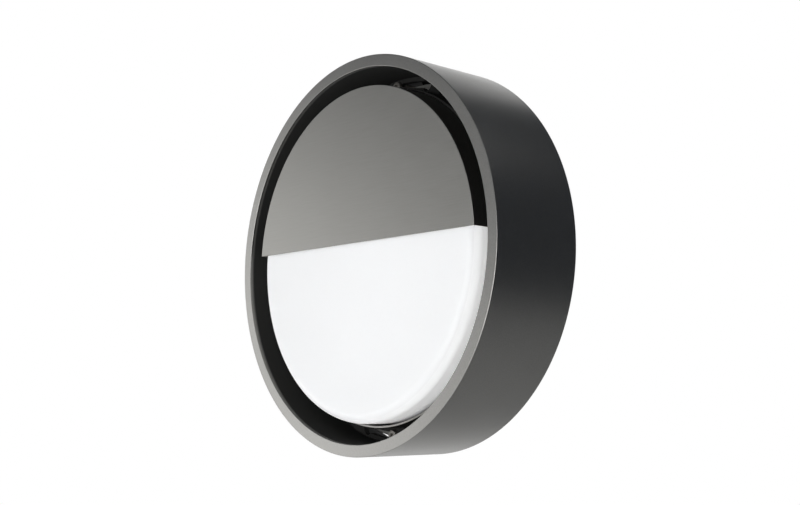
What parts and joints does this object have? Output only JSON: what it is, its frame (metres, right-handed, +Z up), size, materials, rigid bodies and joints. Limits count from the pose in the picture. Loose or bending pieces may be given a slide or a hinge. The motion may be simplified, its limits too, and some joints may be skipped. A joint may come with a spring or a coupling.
{
  "type": "wall light",
  "caption": "Round outdoor wall light: deep ring with a flat lip, half-disc eyelid shade over an opal diffuser, on a cast base fixed to the wall.",
  "frame": {"origin": "centre of the mounting face, on the wall", "axes": "+Z up, +Y into the wall, the light's front faces -Y, +X to the right as seen from the front"},
  "size_m": [0.3, 0.078, 0.3],
  "materials": {
    "ring_finish": "satin anthracite coating on die-cast aluminium",
    "eyelid_finish": "fine horizontal brush under anthracite lacquer",
    "opal": "opal white polycarbonate, satin",
    "bare_casting": "as cast, shot blasted",
    "zinc_steel": "bright zinc plated",
    "stainless": "plain stainless steel",
    "white_sheet": "white reflector paint on steel sheet",
    "black_rubber": "matte",
    "grey_rubber": "closed-cell, matte",
    "silicone": "translucent silicone, satin",
    "board_white": "white solder mask on metal core",
    "phosphor": "yellow phosphor",
    "nylon_white": "moulded polyamide",
    "driver_plastic": "moulded polycarbonate",
    "brass_insert": "bright",
    "tinned_copper": "tinned",
    "pvc_brown": "insulation",
    "pvc_blue": "insulation",
    "pvc_green_yellow": "insulation",
    "pvc_red": "insulation",
    "pvc_black": "insulation"
  },
  "bodies": {
    "base": {"diffuser": "opal", "diffuser_gasket": "silicone", "clamp_ring": "bare_casting", "clamp_screws": "stainless", "lock_standoffs": "stainless", "lock_screws": "stainless", "mounting_base": "bare_casting", "wall_gasket": "grey_rubber", "cable_grommet": "black_rubber", "terminal_block": "nylon_white", "terminal_inserts": "brass_insert", "terminal_screws": "zinc_steel", "terminal_fixing_screws": "zinc_steel", "earth_tag": "tinned_copper", "earth_screw": "zinc_steel", "driver_case": "driver_plastic", "driver_lid": "driver_plastic", "driver_screws": "zinc_steel", "gear_tray": "white_sheet", "tray_screws": "zinc_steel", "lead_bush": "black_rubber", "led_board": "board_white", "led_chips": "phosphor", "led_connector": "nylon_white", "board_screws": "zinc_steel", "neutral_lead": "pvc_blue", "live_lead": "pvc_brown", "earth_lead": "pvc_green_yellow", "led_positive_lead": "pvc_red", "led_negative_lead": "pvc_black"},
    "ring": {"outer_frame": "ring_finish", "eyelid": "eyelid_finish", "eyelid_screws": "stainless"}
  },
  "joints": [
    {"name": "ring_turn", "type": "hinge", "parent": "base", "child": "ring", "pos_m": [0, 0, 0], "axis": [0, -1, 0], "range_deg": [0, 14]}
  ]
}
